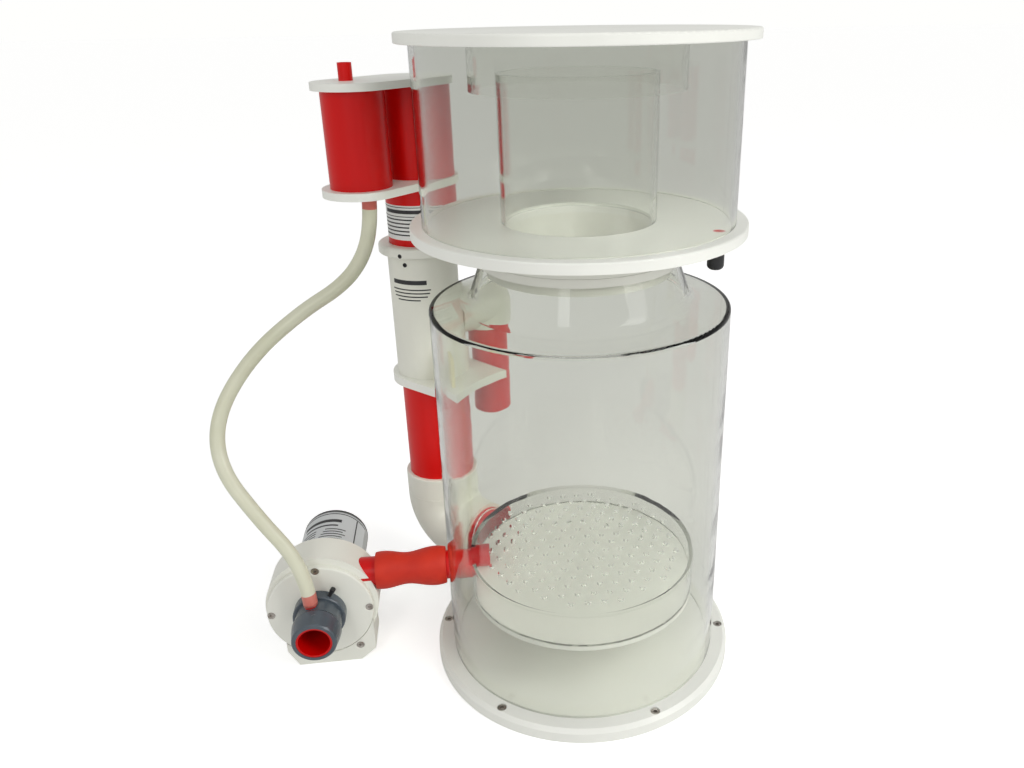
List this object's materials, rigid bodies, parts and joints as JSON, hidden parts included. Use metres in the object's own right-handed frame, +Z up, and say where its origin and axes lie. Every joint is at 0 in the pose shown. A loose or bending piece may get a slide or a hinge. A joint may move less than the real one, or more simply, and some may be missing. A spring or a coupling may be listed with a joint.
{
  "type": "protein skimmer",
  "caption": "Protein skimmer: clear reaction tube and lift-off foam cup, side pump with venturi and air silencer, and a telescopic overflow with a turning level adjuster.",
  "frame": {"origin": "axis of the reaction tube on the floor under the base plate", "axes": "+Z up; +Y along the pump's shaft from its suction mouth to its motor; +X along the feed pipe from the pump into the tube"},
  "size_m": [0.5522, 0.3835, 0.6671],
  "materials": {
    "white_pvc": "satin",
    "cream_pvc": "satin",
    "clear_acrylic": "polished",
    "red_pvc": "gloss",
    "red_rubber": "matte",
    "grey_pvc": "gloss",
    "motor_grey": "satin",
    "clear_hose": "satin",
    "black_rubber": "matte",
    "black_plastic": "satin",
    "steel": "brushed",
    "potting": "cast",
    "ceramic": "ground",
    "magnet": "ground"
  },
  "bodies": {
    "body": {"base_plate": "white_pvc", "base_flange": "white_pvc", "base_screws": "steel", "body_tube": "clear_acrylic", "body_dome": "clear_acrylic", "neck_ring": "white_pvc", "chamber_floor": "white_pvc", "chamber_ring": "clear_acrylic", "bubble_plate": "clear_acrylic", "feed_pipe": "red_pvc", "hose_sleeve": "red_rubber", "outlet_elbow": "white_pvc", "outlet_spigot": "red_pvc", "riser_pipe": "red_pvc", "pump_cover": "white_pvc", "pump_housing": "white_pvc", "pump_seal": "black_rubber", "pump_screws": "steel", "feed_stub": "red_pvc", "venturi_body": "grey_pvc", "venturi_liner": "red_pvc", "air_barb": "red_pvc", "test_nipple": "black_plastic", "motor_can": "motor_grey", "motor_cap": "black_plastic", "cable_gland": "black_plastic", "stator": "potting", "rotor_can": "white_pvc", "rotor_shaft": "ceramic", "air_hose": "clear_hose"},
    "telescope": {"telescope_sleeve": "white_pvc", "telescope_collar": "white_pvc", "guide_plate": "white_pvc", "guide_rib": "cream_pvc", "telescope_seals": "black_rubber", "lock_screws": "black_plastic", "spill_elbow": "white_pvc", "down_pipe": "red_pvc"},
    "adjuster": {"adjuster_pipe": "red_pvc", "silencer_plate": "white_pvc", "silencer_cap": "white_pvc", "silencer_tube": "red_pvc", "air_tube": "red_pvc", "hose_nipple": "red_pvc"},
    "cup": {"cup_spigot": "white_pvc", "cup_seal": "black_rubber", "cup_flange": "white_pvc", "cup_tube": "clear_acrylic", "foam_tube": "clear_acrylic", "drain_nipple": "red_pvc"},
    "lid": {"lid_plate": "white_pvc", "lid_ring": "clear_acrylic"},
    "stopper": {"drain_stopper": "black_rubber"},
    "rotor": {"impeller": "black_plastic", "rotor_magnet": "magnet", "rotor_bushes": "ceramic"}
  },
  "joints": [
    {"name": "telescope_slide", "type": "slide", "parent": "body", "child": "telescope", "axis": [0, 0, 1], "range_m": [0, 0.035]},
    {"name": "adjuster_turn", "type": "hinge", "parent": "body", "child": "adjuster", "pos_m": [-0.15879, 0.15227, 0.5], "axis": [0, 0, 1], "range_deg": [-60, 15], "deforming": ["air_hose"]},
    {"name": "cup_lift", "type": "slide", "parent": "body", "child": "cup", "axis": [0, 0, 1], "range_m": [0, 0.1]},
    {"name": "lid_lift", "type": "slide", "parent": "cup", "child": "lid", "axis": [0, 0, 1], "range_m": [0, 0.08]},
    {"name": "stopper_pull", "type": "slide", "parent": "cup", "child": "stopper", "axis": [0, 0, -1], "range_m": [0, 0.02]},
    {"name": "rotor_spin", "type": "hinge", "parent": "body", "child": "rotor", "pos_m": [-0.2935, 0.05, 0.0706], "axis": [0, 1, 0], "continuous": true}
  ]
}
